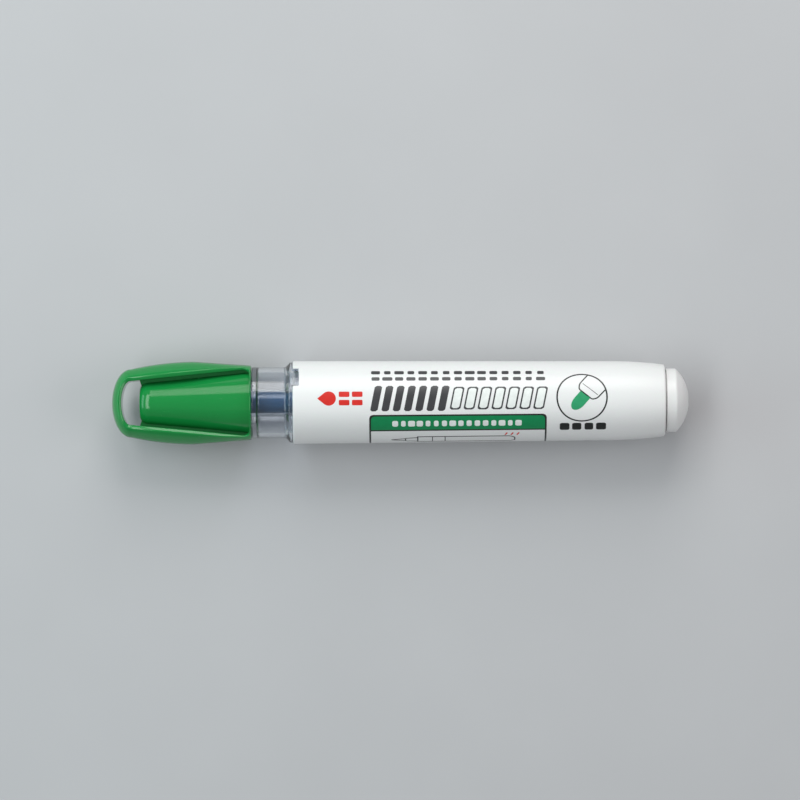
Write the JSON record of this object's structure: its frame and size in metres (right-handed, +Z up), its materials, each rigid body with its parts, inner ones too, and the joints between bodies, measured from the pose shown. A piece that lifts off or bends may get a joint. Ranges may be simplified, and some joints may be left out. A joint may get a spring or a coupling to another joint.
{
  "type": "whiteboard marker",
  "caption": "Felt-tip whiteboard marker with a looped green push-on cap, a clear ink-view section, a white barrel with a fibre reservoir, and a white tail plug.",
  "frame": {"origin": "on the surface that the marker lies on, under the middle of its length", "axes": "+X along the marker from the cap to the tail plug; +Z up, through the middle of the cap's upper opening and of the barrel's printed side; +Y to the side that the locking key leans to"},
  "size_m": [0.137, 0.0198, 0.0197],
  "materials": {
    "cap_green": "glossy moulded polypropylene, slightly translucent",
    "natural_plastic": "natural moulded polypropylene",
    "nib_felt": "pressed felt soaked in green ink",
    "white_plastic": "semi-gloss moulded polypropylene with printed graphics on the barrel",
    "clear_plastic": "clear moulded polypropylene",
    "feed_fibre": "bonded fibre, blue-grey with ink",
    "reservoir_fibre": "bonded polyester fibre soaked in green ink",
    "film": "thin clear film wrapped round the fibre"
  },
  "bodies": {
    "marker_body": {"barrel": "white_plastic", "tail_plug": "white_plastic", "clear_holder": "clear_plastic", "nib": "nib_felt", "nib_collar": "white_plastic", "sensor_tube": "clear_plastic", "sensor_core": "feed_fibre", "reservoir": "reservoir_fibre", "reservoir_film": "film"},
    "cap_inner": {"cap_liner": "natural_plastic"},
    "cap_outer": {"cap_shell": "cap_green"}
  },
  "joints": [
    {"name": "cap_pull", "type": "slide", "parent": "marker_body", "child": "cap_inner", "axis": [-1, 0, 0], "range_m": [0, 0.045]},
    {"name": "cap_twist", "type": "hinge", "parent": "cap_inner", "child": "cap_outer", "pos_m": [-0.0519, 0, 0.00985], "axis": [1, 0, 0], "continuous": true}
  ]
}
